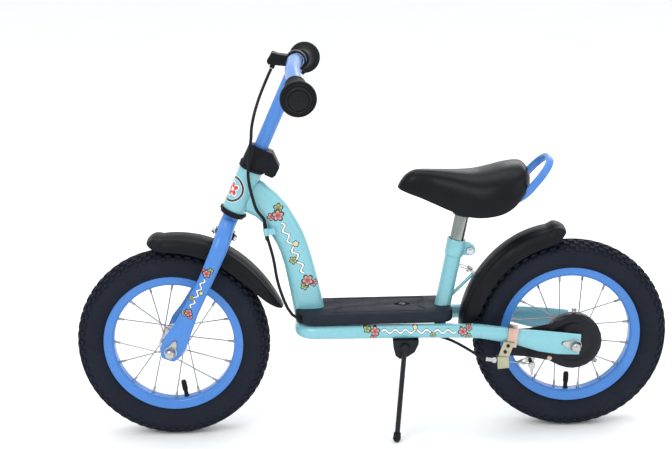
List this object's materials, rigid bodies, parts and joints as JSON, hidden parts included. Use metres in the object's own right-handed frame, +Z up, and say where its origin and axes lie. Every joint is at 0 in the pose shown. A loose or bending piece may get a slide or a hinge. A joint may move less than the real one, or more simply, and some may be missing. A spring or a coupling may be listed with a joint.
{
  "type": "balance bike",
  "caption": "Child's two-wheeled balance bike with spoked wheels, footboard, padded saddle with grab handle, rear band brake and kickstand.",
  "frame": {"origin": "centre of the bounding box in plan, at ground level under both tyres", "axes": "+X runs from the front wheel to the rear wheel, so the bike faces -X; +Y is the bike's right side; +Z is up"},
  "size_m": [0.916, 0.419, 0.5904],
  "materials": {
    "black_steel": "black powder coat",
    "blue": "glossy blue paint",
    "blue_plastic": "blue moulded plastic",
    "brass": "yellow passivated plate",
    "chrome": "polished chrome plate",
    "copper": "copper-coloured spring steel",
    "plastic": "satin black moulded plastic",
    "rubber": "soft black rubber",
    "turquoise": "glossy turquoise paint",
    "tyre": "black moulded tread rubber",
    "vinyl": "grained black vinyl",
    "zinc": "bright zinc plate"
  },
  "bodies": {
    "frame": {"head_tube": "turquoise", "headset_lower": "plastic", "headset_upper": "plastic", "down_tube": "turquoise", "side_rail_left": "turquoise", "side_rail_right": "turquoise", "seat_tube": "turquoise", "seat_clamp": "turquoise", "seat_clamp_bolt": "chrome", "footboard": "plastic", "footboard_screw": "black_steel", "rear_mudguard": "plastic", "rear_mudguard_bracket": "zinc", "rear_mudguard_bolt": "zinc", "rear_axle": "zinc", "rear_axle_nut_left": "zinc", "rear_axle_nut_right": "zinc", "brake_cover": "black_steel", "brake_strap": "copper", "brake_bracket": "brass", "barrel_adjuster": "chrome", "cable_lower": "rubber", "kickstand_bracket": "black_steel"},
    "fork": {"steerer_tube": "blue", "fork_leg_left": "blue", "fork_leg_right": "blue", "crown_bolt": "chrome", "front_mudguard": "plastic", "front_axle": "zinc", "front_axle_nut_left": "zinc", "front_axle_nut_right": "zinc", "stem_clamp": "black_steel", "stem_cover": "plastic", "cable_middle": "rubber"},
    "front_wheel": {"front_tyre": "tyre", "front_rim": "blue", "front_hub": "zinc", "front_valve": "rubber"},
    "handlebar": {"handlebar": "blue", "grip_left": "rubber", "grip_right": "rubber", "lever_bracket": "plastic", "cable_upper": "rubber"},
    "brake_lever": {"brake_lever": "plastic"},
    "brake_arm": {"brake_arm": "zinc", "anchor_nut": "zinc", "anchor_spring": "zinc", "brake_wire": "zinc"},
    "rear_wheel": {"rear_tyre": "tyre", "rear_rim": "blue", "rear_hub": "zinc", "brake_drum": "zinc", "rear_valve": "rubber"},
    "kickstand": {"kickstand_leg": "black_steel", "kickstand_foot": "rubber"},
    "seat_post": {"seat_post": "chrome", "saddle_clamp": "black_steel"},
    "saddle": {"saddle_base": "plastic", "saddle_cover": "vinyl", "grab_handle": "blue_plastic"}
  },
  "joints": [
    {"name": "steering", "type": "hinge", "parent": "frame", "child": "fork", "pos_m": [-0.177, 0, 0.4216], "axis": [0.4226, 0, 0.9063], "range_deg": [-60, 60], "deforming": ["cable_middle"]},
    {"name": "handlebar_height", "type": "slide", "parent": "fork", "child": "handlebar", "axis": [0.4226, 0, 0.9063], "range_m": [-0.03, 0.035], "deforming": ["cable_upper"]},
    {"name": "brake_lever_pull", "type": "hinge", "parent": "handlebar", "child": "brake_lever", "pos_m": [-0.14376, 0.086, 0.58043], "axis": [-0.4226, 0, -0.9063], "range_deg": [0, 14], "stiffness_Nm_per_rad": 0.3, "springref_deg": -17.19},
    {"name": "brake_arm_pull", "type": "slide", "parent": "frame", "child": "brake_arm", "axis": [-0.989, 0, 0.1478], "range_m": [0, 0.006]},
    {"name": "front_wheel_spin", "type": "hinge", "parent": "fork", "child": "front_wheel", "pos_m": [-0.308, 0, 0.15], "axis": [0, 1, 0], "continuous": true},
    {"name": "rear_wheel_spin", "type": "hinge", "parent": "frame", "child": "rear_wheel", "pos_m": [0.308, 0, 0.15], "axis": [0, 1, 0], "continuous": true},
    {"name": "kickstand_fold", "type": "hinge", "parent": "frame", "child": "kickstand", "pos_m": [0.0495, -0.057, 0.15], "axis": [0, -1, 0], "range_deg": [0, 72]},
    {"name": "seat_height", "type": "slide", "parent": "frame", "child": "seat_post", "axis": [0.2079, 0, 0.9781], "range_m": [-0.025, 0.05]},
    {"name": "saddle_tilt", "type": "hinge", "parent": "seat_post", "child": "saddle", "pos_m": [0.1445, 0, 0.355], "axis": [0, 1, 0], "range_deg": [-10, 10]}
  ],
  "couplings": [
    {"joint": "brake_arm_pull", "follows": "brake_lever_pull", "m_per_rad": 0.0245}
  ]
}
